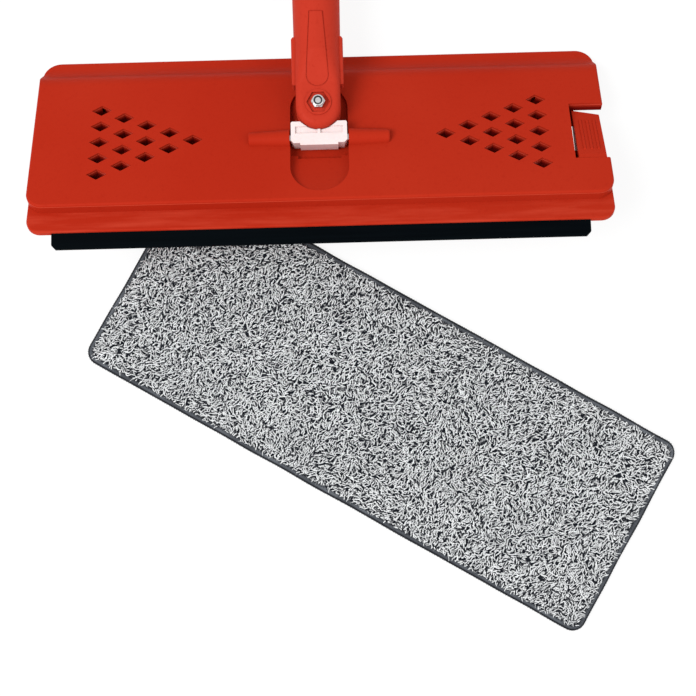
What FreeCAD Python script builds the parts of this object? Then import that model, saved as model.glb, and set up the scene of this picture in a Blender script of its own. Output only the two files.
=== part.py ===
"""Flat mop laid down for a pad change: head with floor squeegee, folding yoke,
telescopic pole and a loose microfibre pad.  Millimetres, +Z up, floor at Z = 0.

The head is modelled flat (X along its length, +Y to its rear, Z up from its underside),
the pole is modelled along +Y from its tilt pin, and both are then laid on the floor.
"""
import FreeCAD, Part
import math
import os
from FreeCAD import Placement, Rotation, Vector

# ---- head: plate and deck ----
head_length = 330.0
head_depth = 122.0
front_corner = 8.5
rear_corner = 10.5
flange_thick = 3.0
flange_round = 0.9
deck_height = 10.0
deck_front_step = 12.8        # flange strip in front of the raised deck
deck_rear_step = 23.0         # strip behind it, where the deck runs out
deck_rear_radius = 14.0       # the two arcs of that run-out
deck_corner = 9.5
deck_round = 1.5
shell_wall = 2.2
base_thick = 1.6
fit_gap = 0.2                 # between fixed neighbours that drop in
moving_gap = 0.35             # between neighbours that move

# ---- drain holes, two triangles of diamonds ----
hole_columns = 5
hole_side_inset = 38.8        # last column of holes from the head's end
hole_pitch_x = 13.4
hole_pitch_y = 11.4
hole_length = 11.8
hole_width = 7.4
hole_centre_y = -4.6
hole_wall = 2.0

# ---- recess for the yoke, and the tilt pin ----
pivot_y = -6.0
pivot_z = 10.0
recess_half_width = 16.7
recess_front_margin = 5.7     # deck left in front of the recess, and behind it
recess_rear_margin = 5.0
recess_depth = 6.0
well_half_width = 12.4
well_front_y = -16.0
well_rear_y = 10.0
pin_radius = 2.25
pin_play = 0.05
pin_half_length = 35.5
boss_inner_x = 16.9
boss_outer_x = 40.5
boss_inner_radius = 5.4
boss_outer_radius = 4.3

# ---- release tab in the right-hand end ----
notch_length = 20.0
notch_front_y = -24.6
notch_rear_y = 14.5
notch_lip = 6.4               # depth of the notch's rear edge, which is undercut below that
notch_undercut = 4.0
web_thick = 0.9               # thin webs across the foot of the slot
web_reach = 2.5               # how far they run on under the tab
web_front_length = 12.0
web_rear_length = 13.0
tab_slot = 2.0                # slot along the tab's inner side
tab_front_gap = 0.12
tab_travel = 3.0              # degrees
tab_skirt = 1.2               # wall under the tab's inner edge
tab_inset = 2.2               # tab set back from the head's side
tab_thick = 2.2
tab_tip_inner_y = 13.0
tab_tip_outer_y = 8.6
tab_tip_height = 6.2          # top of the tip over the underside
tab_pin_radius = 1.0
tab_knuckle_radius = 2.6
tab_hinge_set = 3.2           # hinge line in front of the notch
tab_hinge_z = 4.6
spring_length = 2.6
grip_ribs = 3

# ---- squeegee along the front edge ----
squeegee_inset = 14.5         # its end from the head's end
blade_reach = 9.4
blade_droop = 20.0
blade_thick = 1.6
blade_tip = 1.2
blade_root = 9.0
clip_thick = 1.8
clip_pegs = 7
peg_radius = 1.5

# ---- underside ----
strip_inset = 30.0
strip_width = 11.0
strip_thick = 1.5
strip_sink = 0.7
screw_radius = 1.5
screw_head_radius = 2.9
screw_head = 1.3
screw_length = 6.6
screw_end_inset = 27.0        # outer screws from the head's end
screw_inner_x = 50.0
screw_front_gap = 8.0         # inner screws from the hook strips
screw_rear_gap = 6.8

# ---- yoke ----
fold_angle = 22.1             # pole to rear deck at the back end of the tilt travel
swing_offset = 18.6           # swing bolt from tilt pin
yoke_half_width = 16.0
yoke_half_thick = 5.5
yoke_top = 8.5
yoke_shoulder = 4.0
yoke_foot = 5.2
yoke_foot_half_width = 10.8
yoke_heel_radius = 7.5
yoke_chamfer = 1.6
tongue_half_thick = 3.0
tongue_radius = 9.0
bush_radius = 4.0

# ---- socket ----
ear_half_width = 12.8
ear_front = 8.6
ear_rear = 8.5
ear_end = 14.3                # ear tip from the swing bolt
ear_round = 4.0
ear_top = 12.0                # where the ears start to turn into the tube socket
socket_round_start = 30.0
socket_end = 118.0
socket_wall_low = 2.4         # over the lower tube
socket_wall_high = 3.3
wing_reach = 1.5              # past the socket's side
wing_half_thick = 4.5
wing_start = 11.5
wing_end = 40.0
teardrop_start = 9.6
teardrop_end = 52.0
teardrop_radius = 6.3
teardrop_top_half = 3.8
groove_half = 0.3
groove_deep = 0.45
bolt_radius = 2.0
bolt_head_radius = 4.0
bolt_head = 2.8
bolt_tip = 12.5
nut_across = 7.0
nut_hex = 3.4
nut_collar = 1.6
nut_collar_radius = 3.3
nut_collar_wall = 0.75
nut_pocket_across = 11.6
nut_pocket_deep = 1.6
nut_boss_radius = 7.4
nut_boss = 0.8

# ---- pole, from the tilt pin ----
lower_radius = 11.0
lower_wall = 0.8
tube_gap = 0.7                # between the two tubes
upper_wall = 0.8
lower_start = 50.0
lower_end = 560.0
upper_start = 130.0
bush_length = 22.0
slide_play = 0.05
sleeve_start = 541.0
sleeve_end = 593.0
sleeve_wall = 2.0
sleeve_flange = 5.0
sleeve_lip = 2.0
collar_wall = 3.5
collar_ribs = 18
collar_play = 0.1
grip_start = 603.0
grip_end = 728.0
grip_wall = 4.5
grip_rings = 9
upper_end = 721.0
cap_length = 12.0
cap_round = 4.0
loop_stem_radius = 3.0
loop_neck_radius = 2.2
loop_pin_radius = 0.75
loop_outer = 12.0
loop_hole = 6.5
loop_thick = 5.0
rivet_radius = 1.5
rivet_place = 108.0           # from the swing bolt

# ---- pad ----
pad_length = 330.0
pad_width = 124.1
pad_corner = 8.0
pad_backing_thick = 2.0
pad_height = 8.6
pad_border_width = 3.5
pad_border_height = 6.0
pad_ahead = 96.2              # pad centre in front of the head's front edge
pad_aside = 31.5
pad_turn = -30.76

half_length = head_length / 2
half_depth = head_depth / 2
deck_front = -half_depth + deck_front_step
deck_rear = half_depth - deck_rear_step
ceiling = deck_height - shell_wall
tab_drop = deck_height - tab_tip_height
recess_front_y = deck_front + recess_front_margin
recess_rear_y = deck_rear - recess_rear_margin
hole_first_x = half_length - hole_side_inset - (hole_columns - 1) * hole_pitch_x
notch_inner_x = half_length - notch_length
squeegee_half_length = half_length - squeegee_inset
strip_length = head_length - 2 * strip_inset
strip_margin = shell_wall + fit_gap + 0.8
strip_front_y = deck_front + strip_margin
strip_rear_y = deck_rear - strip_margin - strip_width
screw_end_x = half_length - screw_end_inset
screw_front_y = strip_front_y + strip_width + screw_front_gap
screw_rear_y = strip_rear_y - screw_rear_gap
screw_places = [(-screw_end_x, hole_centre_y), (screw_end_x, hole_centre_y)]
screw_places += [(x, y) for x in (-screw_inner_x, screw_inner_x) for y in (screw_front_y, screw_rear_y)]
upper_radius = lower_radius - lower_wall - tube_gap
grip_radius = upper_radius + grip_wall
sleeve_radius = lower_radius + sleeve_wall
sleeve_flange_radius = sleeve_radius + sleeve_lip
collar_radius = sleeve_radius + collar_wall
socket_radius_low = lower_radius + socket_wall_low
socket_radius_high = lower_radius + socket_wall_high
wing_half_width = socket_radius_low + wing_reach
X, Y, Z = Vector(1, 0, 0), Vector(0, 1, 0), Vector(0, 0, 1)


def block(x0, x1, y0, y1, z0, z1):
    return Part.makeBox(x1 - x0, y1 - y0, z1 - z0, Vector(x0, y0, z0))


def rod(radius, start, along, length, end_radius=None):
    if end_radius is None:
        return Part.makeCylinder(radius, length, start, along)
    return Part.makeCone(radius, end_radius, length, start, along)


def tube(outer, inner, y0, y1):
    return rod(outer, Vector(0, y0, 0), Y, y1 - y0).cut(rod(inner, Vector(0, y0 - 1, 0), Y, y1 - y0 + 2))


def fused(shapes):
    whole = shapes[0]
    if len(shapes) > 1:
        whole = whole.fuse(shapes[1:])
    return whole.removeSplitter()


def edges_where(shape, test):
    return [edge for edge in shape.Edges if test(edge.BoundBox)]


def upright(box):
    return box.XLength < 1e-4 and box.YLength < 1e-4


def level(height):
    return lambda box: abs(box.ZMin - height) < 1e-4 and abs(box.ZMax - height) < 1e-4


def rounded_block(x0, x1, y0, y1, z0, z1, front, rear):
    """A slab whose upright corners have one radius in front and another behind."""
    slab = block(x0, x1, y0, y1, z0, z1)
    middle = (y0 + y1) / 2
    slab = slab.makeFillet(front, edges_where(slab, lambda b: upright(b) and b.YMax < middle))
    return slab.makeFillet(rear, edges_where(slab, lambda b: upright(b) and b.YMin > middle))


def prism(points, direction, length):
    """A polygon through points, swept along direction."""
    wire = Part.makePolygon([Vector(*p) for p in points] + [Vector(*points[0])])
    return Part.Face(wire).extrude(direction * length)


def profile_across(points, x0, x1):
    """A (y, z) polygon swept along X."""
    return prism([(x0, y, z) for y, z in points], X, x1 - x0)


def hexagon(across, centre, z0, z1):
    radius = across / math.sqrt(3)
    turns = [math.radians(60 * i) for i in range(6)]
    corners = [(centre.x + radius * math.cos(t), centre.y + radius * math.sin(t), z0) for t in turns]
    return prism(corners, Z, z1 - z0)


# ---- head ----

def hole_centres():
    for side in (-1, 1):
        for column in range(hole_columns):
            for row in range(column + 1):
                yield (side * (hole_first_x + column * hole_pitch_x),
                       hole_centre_y + (row - column / 2) * hole_pitch_y)


def diamonds(z0, z1):
    cuts = []
    for x, y in hole_centres():
        corners = [(x - hole_length / 2, y, z0), (x, y - hole_width / 2, z0),
                   (x + hole_length / 2, y, z0), (x, y + hole_width / 2, z0)]
        cuts.append(prism(corners, Z, z1 - z0))
    return Part.makeCompound(cuts)


def hole_surround(side, z0, z1):
    """Solid wedge that carries one triangle of holes through the hollow head."""
    last = hole_columns - 1
    inner = hole_first_x - hole_length / 2 - 2 * hole_wall
    outer = hole_first_x + last * hole_pitch_x + hole_length / 2 + hole_wall
    narrow = hole_width / 2 + hole_wall
    wide = last / 2 * hole_pitch_y + hole_width / 2 + hole_wall
    corners = [(side * inner, hole_centre_y - narrow, z0), (side * outer, hole_centre_y - wide, z0),
               (side * outer, hole_centre_y + wide, z0), (side * inner, hole_centre_y + narrow, z0)]
    return prism(corners, Z, z1 - z0)


def stadium(half_width, y0, y1, z0, z1):
    """A slab along Y with round ends."""
    r = half_width
    return rounded_block(-r, r, y0, y1, z0, z1, r - 0.01, r - 0.01)


def recess_cut():
    """Shallow dish with round ends, and the deeper well that the yoke turns in."""
    half = (recess_rear_y - recess_front_y) / 2
    middle = (recess_rear_y + recess_front_y) / 2
    radius = (half ** 2 + recess_depth ** 2) / (2 * recess_depth)
    dish = stadium(recess_half_width, recess_front_y, recess_rear_y, base_thick, deck_height + 1)
    bowl = rod(radius, Vector(-head_depth, middle, deck_height - recess_depth + radius), X, 2 * head_depth)
    dish = dish.common(bowl)
    reach = yoke_heel_radius + moving_gap
    wide = block(-yoke_half_width - moving_gap, yoke_half_width + moving_gap,
                 pivot_y - reach, pivot_y + reach, base_thick, deck_height + 1)
    deep = block(-well_half_width, well_half_width, well_front_y, well_rear_y, base_thick, deck_height)
    return fused([dish, wide, deep])


def tilt_bosses():
    bosses = []
    for side in (-1, 1):
        cone = rod(boss_inner_radius, Vector(side * boss_inner_x, pivot_y, pivot_z), X * side,
                   boss_outer_x - boss_inner_x, boss_outer_radius)
        tip = edges_where(cone, lambda b: b.XLength < 1e-4 and abs(abs(b.XMax) - boss_outer_x) < 1e-3)
        bosses.append(cone.makeFillet(1.2, tip))
    return bosses


def pin_slot(gap):
    """Open way up to the tilt pin from below, one side."""
    return block(boss_inner_x - 1, pin_half_length, pivot_y - pin_radius + gap,
                 pivot_y + pin_radius - gap, 0, pivot_z)


def mirrored(shape):
    return shape.mirror(Vector(0, 0, 0), X)


def notch_surround(gap):
    """Solid corner of the shell round the release tab, down to the underside."""
    return block(notch_inner_x - shell_wall - 1 - gap, half_length + 1,
                 notch_front_y - tab_hinge_set - tab_knuckle_radius - shell_wall - gap,
                 notch_rear_y + notch_undercut + shell_wall + gap, -1, deck_height - 0.01)


def tab_hinge():
    return notch_front_y - tab_hinge_set


def notch_cut():
    """Room for the tab, and for its knuckle under the deck skin."""
    room = tab_knuckle_radius + moving_gap
    opening = block(notch_inner_x, half_length + 2, notch_front_y, notch_rear_y, -1, deck_height + 1)
    pocket = block(notch_inner_x + tab_slot - 0.3, half_length - tab_inset - 0.7,
                   tab_hinge() - room, notch_front_y + 1, -1, tab_hinge_z + room)
    pin_hole = rod(tab_pin_radius, Vector(notch_inner_x - 1.5, tab_hinge(), tab_hinge_z), X, notch_length + 1)
    undercut = block(notch_inner_x, half_length + 2, notch_rear_y - 1, notch_rear_y + notch_undercut,
                     -1, deck_height - notch_lip)
    return fused([opening, pocket, pin_hole, undercut])


def slot_webs():
    """Thin floor under the two ends of the slot beside the tab."""
    x1 = notch_inner_x + tab_slot + web_reach
    front = block(notch_inner_x - 1, x1, notch_front_y - 1, notch_front_y + web_front_length, 0, web_thick)
    rear_end = notch_rear_y + notch_undercut
    rear = block(notch_inner_x - 1, x1, rear_end - web_rear_length, rear_end + 1, 0, web_thick)
    return [front, rear]


def cavity(z0, z1, gap=0.0):
    inset = shell_wall + gap
    return rounded_block(-half_length + inset, half_length - inset, deck_front + inset, deck_rear - inset,
                         z0, z1, deck_corner - inset, deck_corner - inset)


def screw_hole(x, y, radius, length):
    return rod(radius, Vector(x, y, 0), Z, length)


def peg_centres():
    step = (2 * squeegee_half_length - 20) / (clip_pegs - 1)
    return [(-squeegee_half_length + 10 + i * step, -half_depth + 1 + blade_root / 2) for i in range(clip_pegs)]


def run_out_length():
    """Length of the two tangent arcs that take the deck down to the flange behind it."""
    drop = deck_height - flange_thick
    return math.sqrt(drop * (4 * deck_rear_radius - drop))


def above_run_out():
    """What lies over the deck's rear run-out: an S of two equal arcs, swept along X."""
    drop = deck_height - flange_thick
    length = run_out_length()
    x0 = -half_length - 1
    top, foot = Vector(x0, deck_rear, deck_height), Vector(x0, deck_rear + length, flange_thick)
    middle = (top + foot) / 2
    turn = math.acos(1 - drop / 2 / deck_rear_radius) / 2
    sag = deck_rear_radius * (1 - math.cos(turn))
    over = Vector(0, deck_rear_radius * math.sin(turn), -sag)
    edges = [Part.Arc(top, top + over, middle).toShape(),
             Part.Arc(middle, foot - over, foot).toShape(),
             Part.LineSegment(foot, Vector(x0, foot.y + 10, foot.z)).toShape(),
             Part.LineSegment(Vector(x0, foot.y + 10, foot.z), Vector(x0, foot.y + 10, deck_height + 5)).toShape(),
             Part.LineSegment(Vector(x0, foot.y + 10, deck_height + 5), Vector(x0, deck_rear, deck_height + 5)).toShape(),
             Part.LineSegment(Vector(x0, deck_rear, deck_height + 5), top).toShape()]
    return Part.Face(Part.Wire(edges)).extrude(X * (head_length + 2))


def deck_shell():
    flange = rounded_block(-half_length, half_length, -half_depth, half_depth, 0, flange_thick,
                           front_corner, rear_corner)
    flange = flange.makeFillet(flange_round, edges_where(flange, level(flange_thick)))
    deck = rounded_block(-half_length, half_length, deck_front, deck_rear + run_out_length(), 0, deck_height,
                         deck_corner, deck_corner)
    deck = deck.makeFillet(deck_round, edges_where(deck, level(deck_height)))
    deck = deck.cut(above_run_out())
    outer = fused([flange, deck] + tilt_bosses())

    islands = [hole_surround(side, base_thick, deck_height) for side in (-1, 1)]
    islands.append(block(-boss_inner_x - 2, boss_inner_x + 2, deck_front, deck_rear, base_thick, deck_height))
    islands.append(block(-boss_outer_x - 1, boss_outer_x + 1, pivot_y - boss_inner_radius,
                         pivot_y + boss_inner_radius, base_thick, deck_height))
    islands += [screw_hole(x, y, 2 * screw_radius + 0.3, deck_height) for x, y in screw_places]
    hollow = cavity(base_thick, ceiling).cut(fused(islands))
    seat = cavity(-1, base_thick)
    inside = fused([hollow, seat]).cut(notch_surround(0))

    shell = outer.cut(inside)
    cuts = [recess_cut(), pin_slot(0), mirrored(pin_slot(0)), notch_cut(), blade_seat()]
    cuts.append(rod(pin_radius, Vector(-pin_half_length, pivot_y, pivot_z), X, 2 * pin_half_length))
    cuts += [screw_hole(x, y, screw_radius, screw_length) for x, y in screw_places]
    cuts += [rod(peg_radius, Vector(x, y, 0), Z, flange_thick - 0.8) for x, y in peg_centres()]
    shell = shell.cut(fused(cuts)).cut(diamonds(-1, deck_height + 1))
    return fused([shell] + slot_webs())


def base_plate():
    plate = cavity(0, base_thick, fit_gap / 2)
    prop = pin_slot(fit_gap / 2).common(block(0, head_length, -head_depth, head_depth, 0, pivot_z - pin_radius))
    rib_gap = block(boss_inner_x + 5, pin_half_length - 5, -head_depth, head_depth, base_thick, pivot_z)
    prop = prop.cut(rib_gap).cut(block(0, boss_inner_x + 2, -head_depth, head_depth, base_thick, pivot_z))
    plate = fused([plate, prop, mirrored(prop)]).cut(notch_surround(fit_gap / 2))
    for x, y in screw_places:
        plate = plate.cut(screw_hole(x, y, screw_radius, base_thick))
        plate = plate.cut(rod(screw_head_radius, Vector(x, y, 0), Z, screw_head, screw_radius))
    for y0 in (strip_front_y, strip_rear_y):
        plate = plate.cut(block(-strip_length / 2, strip_length / 2, y0, y0 + strip_width, 0, strip_sink))
    return plate.cut(diamonds(-1, deck_height))


def hook_strip(y0):
    strip = block(-strip_length / 2, strip_length / 2, y0, y0 + strip_width, strip_sink - strip_thick, strip_sink)
    return strip.makeFillet(1.5, edges_where(strip, upright))


def base_screws():
    screws = []
    for x, y in screw_places:
        shank = rod(screw_radius, Vector(x, y, 0), Z, screw_length)
        head = rod(screw_head_radius, Vector(x, y, 0), Z, screw_head, screw_radius)
        cross = fused([block(x - 1.5, x + 1.5, y - 0.3, y + 0.3, -1, 0.8),
                       block(x - 0.3, x + 0.3, y - 1.5, y + 1.5, -1, 0.8)])
        screws.append(fused([shank, head]).cut(cross))
    return Part.makeCompound(screws)


def pivot_pin():
    pin = rod(pin_radius, Vector(-pin_half_length, pivot_y, pivot_z), X, 2 * pin_half_length)
    return pin.makeChamfer(0.4, edges_where(pin, lambda b: b.XLength < 1e-4))


# ---- squeegee ----

def blade_seat():
    back = -half_depth + 1 + blade_root
    return block(-squeegee_half_length, squeegee_half_length, -half_depth - 1, back, -1, blade_thick)


def squeegee_blade():
    """Flat root under the front flange, and a lip that leans down in front of it."""
    root_back = -half_depth + 1 + blade_root
    knee = -half_depth + 0.4
    down = Vector(0, -math.cos(math.radians(blade_droop)), -math.sin(math.radians(blade_droop)))
    over = Vector(0, -down.z, down.y) * -1
    top_knee = Vector(0, knee, blade_thick)
    low_knee = Vector(0, knee, 0)
    tip = top_knee + down * (blade_reach + 0.4)
    bead = tip - down * 1.8
    points = [(root_back, 0), (root_back, blade_thick), (top_knee.y, top_knee.z),
              (bead.y, bead.z), (bead.y + over.y * 0.5, bead.z + over.z * 0.5),
              (tip.y + over.y * 0.5, tip.z + over.z * 0.5),
              (tip.y - over.y * blade_tip, tip.z - over.z * blade_tip), (low_knee.y, low_knee.z)]
    blade = profile_across(points, -squeegee_half_length, squeegee_half_length)
    corner = blade_reach * 0.3
    for side in (-1, 1):
        end = side * squeegee_half_length
        y_tip = tip.y - 1
        wedge = prism([(end, y_tip, -20), (end - side * (corner + 1), y_tip, -20), (end, y_tip + corner + 1, -20)],
                      Z, 40)
        blade = blade.cut(wedge)
    for x, y in peg_centres():
        blade = blade.cut(rod(peg_radius, Vector(x, y, -1), Z, 4))
    return blade


def blade_clip():
    """Strip under the root with pegs that go up through it into the flange."""
    back = -half_depth + 1 + blade_root
    strip = block(-squeegee_half_length, squeegee_half_length, -half_depth + 1.6, back, -clip_thick, 0)
    strip = strip.makeChamfer(0.8, edges_where(strip, level(-clip_thick)))
    pegs = [rod(peg_radius, Vector(x, y, -0.5), Z, 0.5 + flange_thick - 0.8) for x, y in peg_centres()]
    return fused([strip] + pegs)


# ---- release tab ----

def tab_line(y, under=0.0):
    """Height of the tab's sloping top, or of its underside."""
    start = notch_front_y + 2.5
    slope = tab_drop / (tab_tip_outer_y - start)
    return deck_height - max(0.0, y - start) * slope - under


def skirt_foot(y):
    """Foot of the wall under the tab's edge: clear of the webs when the tab is down."""
    return web_thick + moving_gap + (y - tab_hinge()) * math.sin(math.radians(tab_travel))


def release_tab():
    x0 = notch_inner_x + tab_slot
    x1 = half_length - tab_inset
    front = notch_front_y + tab_front_gap
    bend = notch_front_y + 2.5
    reach = tab_tip_inner_y + 1
    skirt = profile_across([(front, deck_height - 1), (bend, deck_height - 1), (reach, tab_line(reach, 1)),
                            (reach, skirt_foot(reach)), (front, skirt_foot(front))], x0, x0 + tab_skirt)
    plate = profile_across([(front, deck_height), (bend, deck_height), (reach, tab_line(reach)),
                            (reach, tab_line(reach, tab_thick)), (front + 4, tab_line(front + 4, tab_thick)),
                            (front + 4, tab_hinge_z - 1.2), (front, tab_hinge_z - 1.2)], x0, x1)
    plate = plate.makeFillet(0.4, edges_where(plate, lambda b: upright_slope(b, x0, x1)))
    slant = prism([(x0 - 1, tab_tip_inner_y, -1), (x1 + 1, tab_tip_outer_y, -1),
                   (x1 + 1, reach + 2, -1), (x0 - 1, reach + 2, -1)], Z, 20)
    plate = fused([plate, skirt]).cut(slant)
    arm_start = x0 + spring_length + moving_gap
    arm_end = x1 - 1.1
    knuckle = rod(tab_knuckle_radius, Vector(arm_start, tab_hinge(), tab_hinge_z), X, arm_end - arm_start)
    arm = block(arm_start, arm_end, tab_hinge(), front + 1, tab_hinge_z - 1.2, tab_hinge_z + 1.2)
    parts = [plate, knuckle, arm]
    pitch = (x1 - x0) / (grip_ribs + 1)
    for i in range(grip_ribs):
        x = x0 + pitch * (i + 1)
        y0, y1 = bend + 3, tab_tip_outer_y - 3
        rib = profile_across([(y0, tab_line(y0, 0.6)), (y0 + 1, tab_line(y0 + 1, -0.5)),
                              (y1 - 1, tab_line(y1 - 1, -0.5)), (y1, tab_line(y1, 0.6))], x - 0.7, x + 0.7)
        parts.append(rib)
    bore = rod(tab_pin_radius + pin_play, Vector(x0 - 2, tab_hinge(), tab_hinge_z), X, 30)
    return fused(parts).cut(bore)


def upright_slope(box, x0, x1):
    side = box.XLength < 1e-4 and (abs(box.XMin - x0) < 1e-4 or abs(box.XMin - x1) < 1e-4)
    return side and box.ZMax > deck_height - tab_drop - 1.4 and box.YLength > 20 and box.ZMax > deck_height - 1


def tab_pin():
    return rod(tab_pin_radius, Vector(notch_inner_x - 1.5, tab_hinge(), tab_hinge_z), X, half_length - notch_inner_x)


def tab_spring():
    """Closely wound coil beside the knuckle, with one leg on the pocket's front wall."""
    turns = 4
    wire = spring_length / turns / 2
    x0 = notch_inner_x + tab_slot
    middle = tab_pin_radius + pin_play + wire * 1.04
    rings = []
    for i in range(turns):
        centre = Vector(x0 + wire * (2 * i + 1), tab_hinge(), tab_hinge_z)
        rings.append(Part.makeTorus(middle, wire * 1.04, centre, X))
    leg_x = x0 + wire
    leg = rod(wire, Vector(leg_x, tab_hinge(), tab_hinge_z - middle), Y * -1,
              tab_knuckle_radius + moving_gap)
    return fused(rings + [leg])


# ---- pole, along +Y from the tilt pin, Z towards its front face ----

def yoke():
    w, t = yoke_half_width, yoke_half_thick
    body = prism([(-w, yoke_top, -t), (w, yoke_top, -t), (w, -yoke_shoulder + yoke_chamfer, -t),
                  (w - yoke_chamfer, -yoke_shoulder, -t), (-w + yoke_chamfer, -yoke_shoulder, -t),
                  (-w, -yoke_shoulder + yoke_chamfer, -t)], Z, 2 * t)
    foot = block(-yoke_foot_half_width, yoke_foot_half_width, -yoke_foot, 0, -t, t)
    body = fused([body, foot])
    body = body.makeFillet(1.0, edges_where(body, lambda b: upright_z(b) and b.YMin > yoke_top - 1))
    heel = fused([rod(yoke_heel_radius, Vector(-w, 0, 0), X, 2 * w), block(-w, w, 0, yoke_top, -t, t)])
    body = body.common(heel)
    seat = rod(ear_end + moving_gap, Vector(0, swing_offset, -2 * t), Z, 4 * t)
    seat = seat.cut(block(-w, w, -w, 2 * w, -tongue_half_thick, tongue_half_thick))
    body = body.cut(seat)
    band = block(-w + 2.4, w - 2.4, 1.6, 5.6, t - 1.4, t + 1).cut(block(-0.8, 0.8, 0, 8, 0, 2 * t))
    body = body.cut(band)
    tongue = block(-tongue_radius, tongue_radius, pin_radius + 1, swing_offset,
                   -tongue_half_thick, tongue_half_thick)
    eye = rod(tongue_radius, Vector(0, swing_offset, -tongue_half_thick), Z, 2 * tongue_half_thick)
    body = fused([body, tongue, eye])
    body = body.cut(rod(bush_radius, Vector(0, swing_offset, -2 * t), Z, 4 * t))
    return body.cut(rod(pin_radius + pin_play, Vector(-2 * w, 0, 0), X, 4 * w))


def upright_z(box):
    return box.XLength < 1e-4 and box.YLength < 1e-4


def swing_bush():
    shell = rod(bush_radius, Vector(0, swing_offset, -tongue_half_thick), Z, 2 * tongue_half_thick)
    return shell.cut(rod(bolt_radius + pin_play, Vector(0, swing_offset, -50), Z, 100))


def squircle(y, half_x, z_low, z_high, corner):
    """Closed section across the pole: a rectangle with round corners, always eight edges."""
    def point(x, z):
        return Vector(x, y, z)
    c = corner
    k = c * (1 - math.sqrt(0.5))
    a, lo, hi = half_x, z_low, z_high
    edges = [Part.LineSegment(point(-a + c, hi), point(a - c, hi)).toShape(),
             Part.Arc(point(a - c, hi), point(a - k, hi - k), point(a, hi - c)).toShape(),
             Part.LineSegment(point(a, hi - c), point(a, lo + c)).toShape(),
             Part.Arc(point(a, lo + c), point(a - k, lo + k), point(a - c, lo)).toShape(),
             Part.LineSegment(point(a - c, lo), point(-a + c, lo)).toShape(),
             Part.Arc(point(-a + c, lo), point(-a + k, lo + k), point(-a, lo + c)).toShape(),
             Part.LineSegment(point(-a, lo + c), point(-a, hi - c)).toShape(),
             Part.Arc(point(-a, hi - c), point(-a + k, hi - k), point(-a + c, hi)).toShape()]
    return Part.Wire(edges)


def socket_body(inset):
    """Outer form of the socket, or the same form with its skin taken off by inset."""
    s = swing_offset
    w = ear_half_width - inset
    front, rear = ear_front - inset, -ear_rear + inset
    end = s - ear_end + inset
    slab = block(-w, w, end, s + ear_top, rear, front)
    low = edges_where(slab, lambda b: upright_z(b) and b.YMin < s)
    slab = slab.makeFillet(w - 0.01, low)
    rims = edges_where(slab, lambda b: b.ZLength < 1e-4 and b.YMin < s + ear_top - 1e-3)
    slab = slab.makeFillet(ear_round - inset, rims)
    low_radius = socket_radius_low - inset
    high_radius = socket_radius_high - inset
    neck = Part.makeLoft([squircle(s + ear_top, w, rear, front, ear_round - inset),
                          squircle(s + socket_round_start, low_radius, -low_radius, low_radius,
                                   low_radius - 0.05)], True, True)
    barrel = rod(low_radius, Vector(0, s + socket_round_start, 0), Y, socket_end - socket_round_start,
                 high_radius)
    return fused([slab, neck, barrel])


def teardrop(grow):
    """Rounded panel outline on the socket's front face, swept towards the front."""
    low = swing_offset + teardrop_start + teardrop_radius
    high = swing_offset + teardrop_end
    r = teardrop_radius + grow
    top = teardrop_top_half + grow
    edges = [Part.Arc(Vector(-r, low, 0), Vector(0, low - r, 0), Vector(r, low, 0)).toShape(),
             Part.LineSegment(Vector(r, low, 0), Vector(top, high + grow, 0)).toShape(),
             Part.LineSegment(Vector(top, high + grow, 0), Vector(-top, high + grow, 0)).toShape(),
             Part.LineSegment(Vector(-top, high + grow, 0), Vector(-r, low, 0)).toShape()]
    return Part.Face(Part.Wire(edges)).extrude(Z * 30)


def socket():
    s = swing_offset
    outer = socket_body(0)
    wings = block(-wing_half_width, wing_half_width, s + wing_start, s + wing_end,
                  -wing_half_thick, wing_half_thick)
    wings = wings.makeChamfer(1.0, edges_where(wings, upright_z))
    wings = wings.makeFillet(1.5, edges_where(wings, lambda b: b.XLength < 1e-4 and b.ZLength < 1e-4))
    boss = rod(nut_boss_radius, Vector(0, s, 0), Z, ear_front + nut_boss)
    rim = rod(socket_radius_high + 1.2, Vector(0, s + socket_end - 8, 0), Y, 8)
    rim = rim.makeFillet(1.0, edges_where(rim, lambda b: b.YLength < 1e-4))
    outer = fused([outer, wings, boss, rim])
    groove = teardrop(groove_half).cut(teardrop(-groove_half))
    groove = groove.common(socket_body(-1)).cut(socket_body(groove_deep))
    ear_gap = tongue_half_thick + moving_gap
    slot = block(-2 * ear_half_width, 2 * ear_half_width, 0, s + tongue_radius + 2, -ear_gap, ear_gap)
    bolt_hole = rod(bolt_radius, Vector(0, s, -30), Z, 60)
    head_seat = rod(bolt_head_radius + fit_gap, Vector(0, s, -ear_rear - 1), Z, 1 + bolt_head)
    nut_seat = hexagon(nut_pocket_across, Vector(0, s, 0), nut_floor(), ear_front + 5)
    bore = rod(lower_radius, Vector(0, lower_start, 0), Y, socket_end + s)
    rivet = rod(rivet_radius, Vector(-30, s + rivet_place, 0), X, 60)
    return outer.cut([groove, slot, bolt_hole, head_seat, nut_seat, bore, rivet])


def nut_floor():
    return ear_front + nut_boss - nut_pocket_deep


def swing_bolt():
    shank = rod(bolt_radius, Vector(0, swing_offset, -ear_rear + bolt_head), Z,
                bolt_tip + ear_rear - bolt_head)
    shank = shank.makeChamfer(0.4, edges_where(shank, level(bolt_tip)))
    head = rod(bolt_head_radius, Vector(0, swing_offset, -ear_rear), Z, bolt_head)
    head = head.makeFillet(0.9, edges_where(head, level(-ear_rear)))
    drive = hexagon(3.0, Vector(0, swing_offset, 0), -ear_rear - 1, -ear_rear + 1.6)
    return fused([shank, head]).cut(drive)


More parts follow.
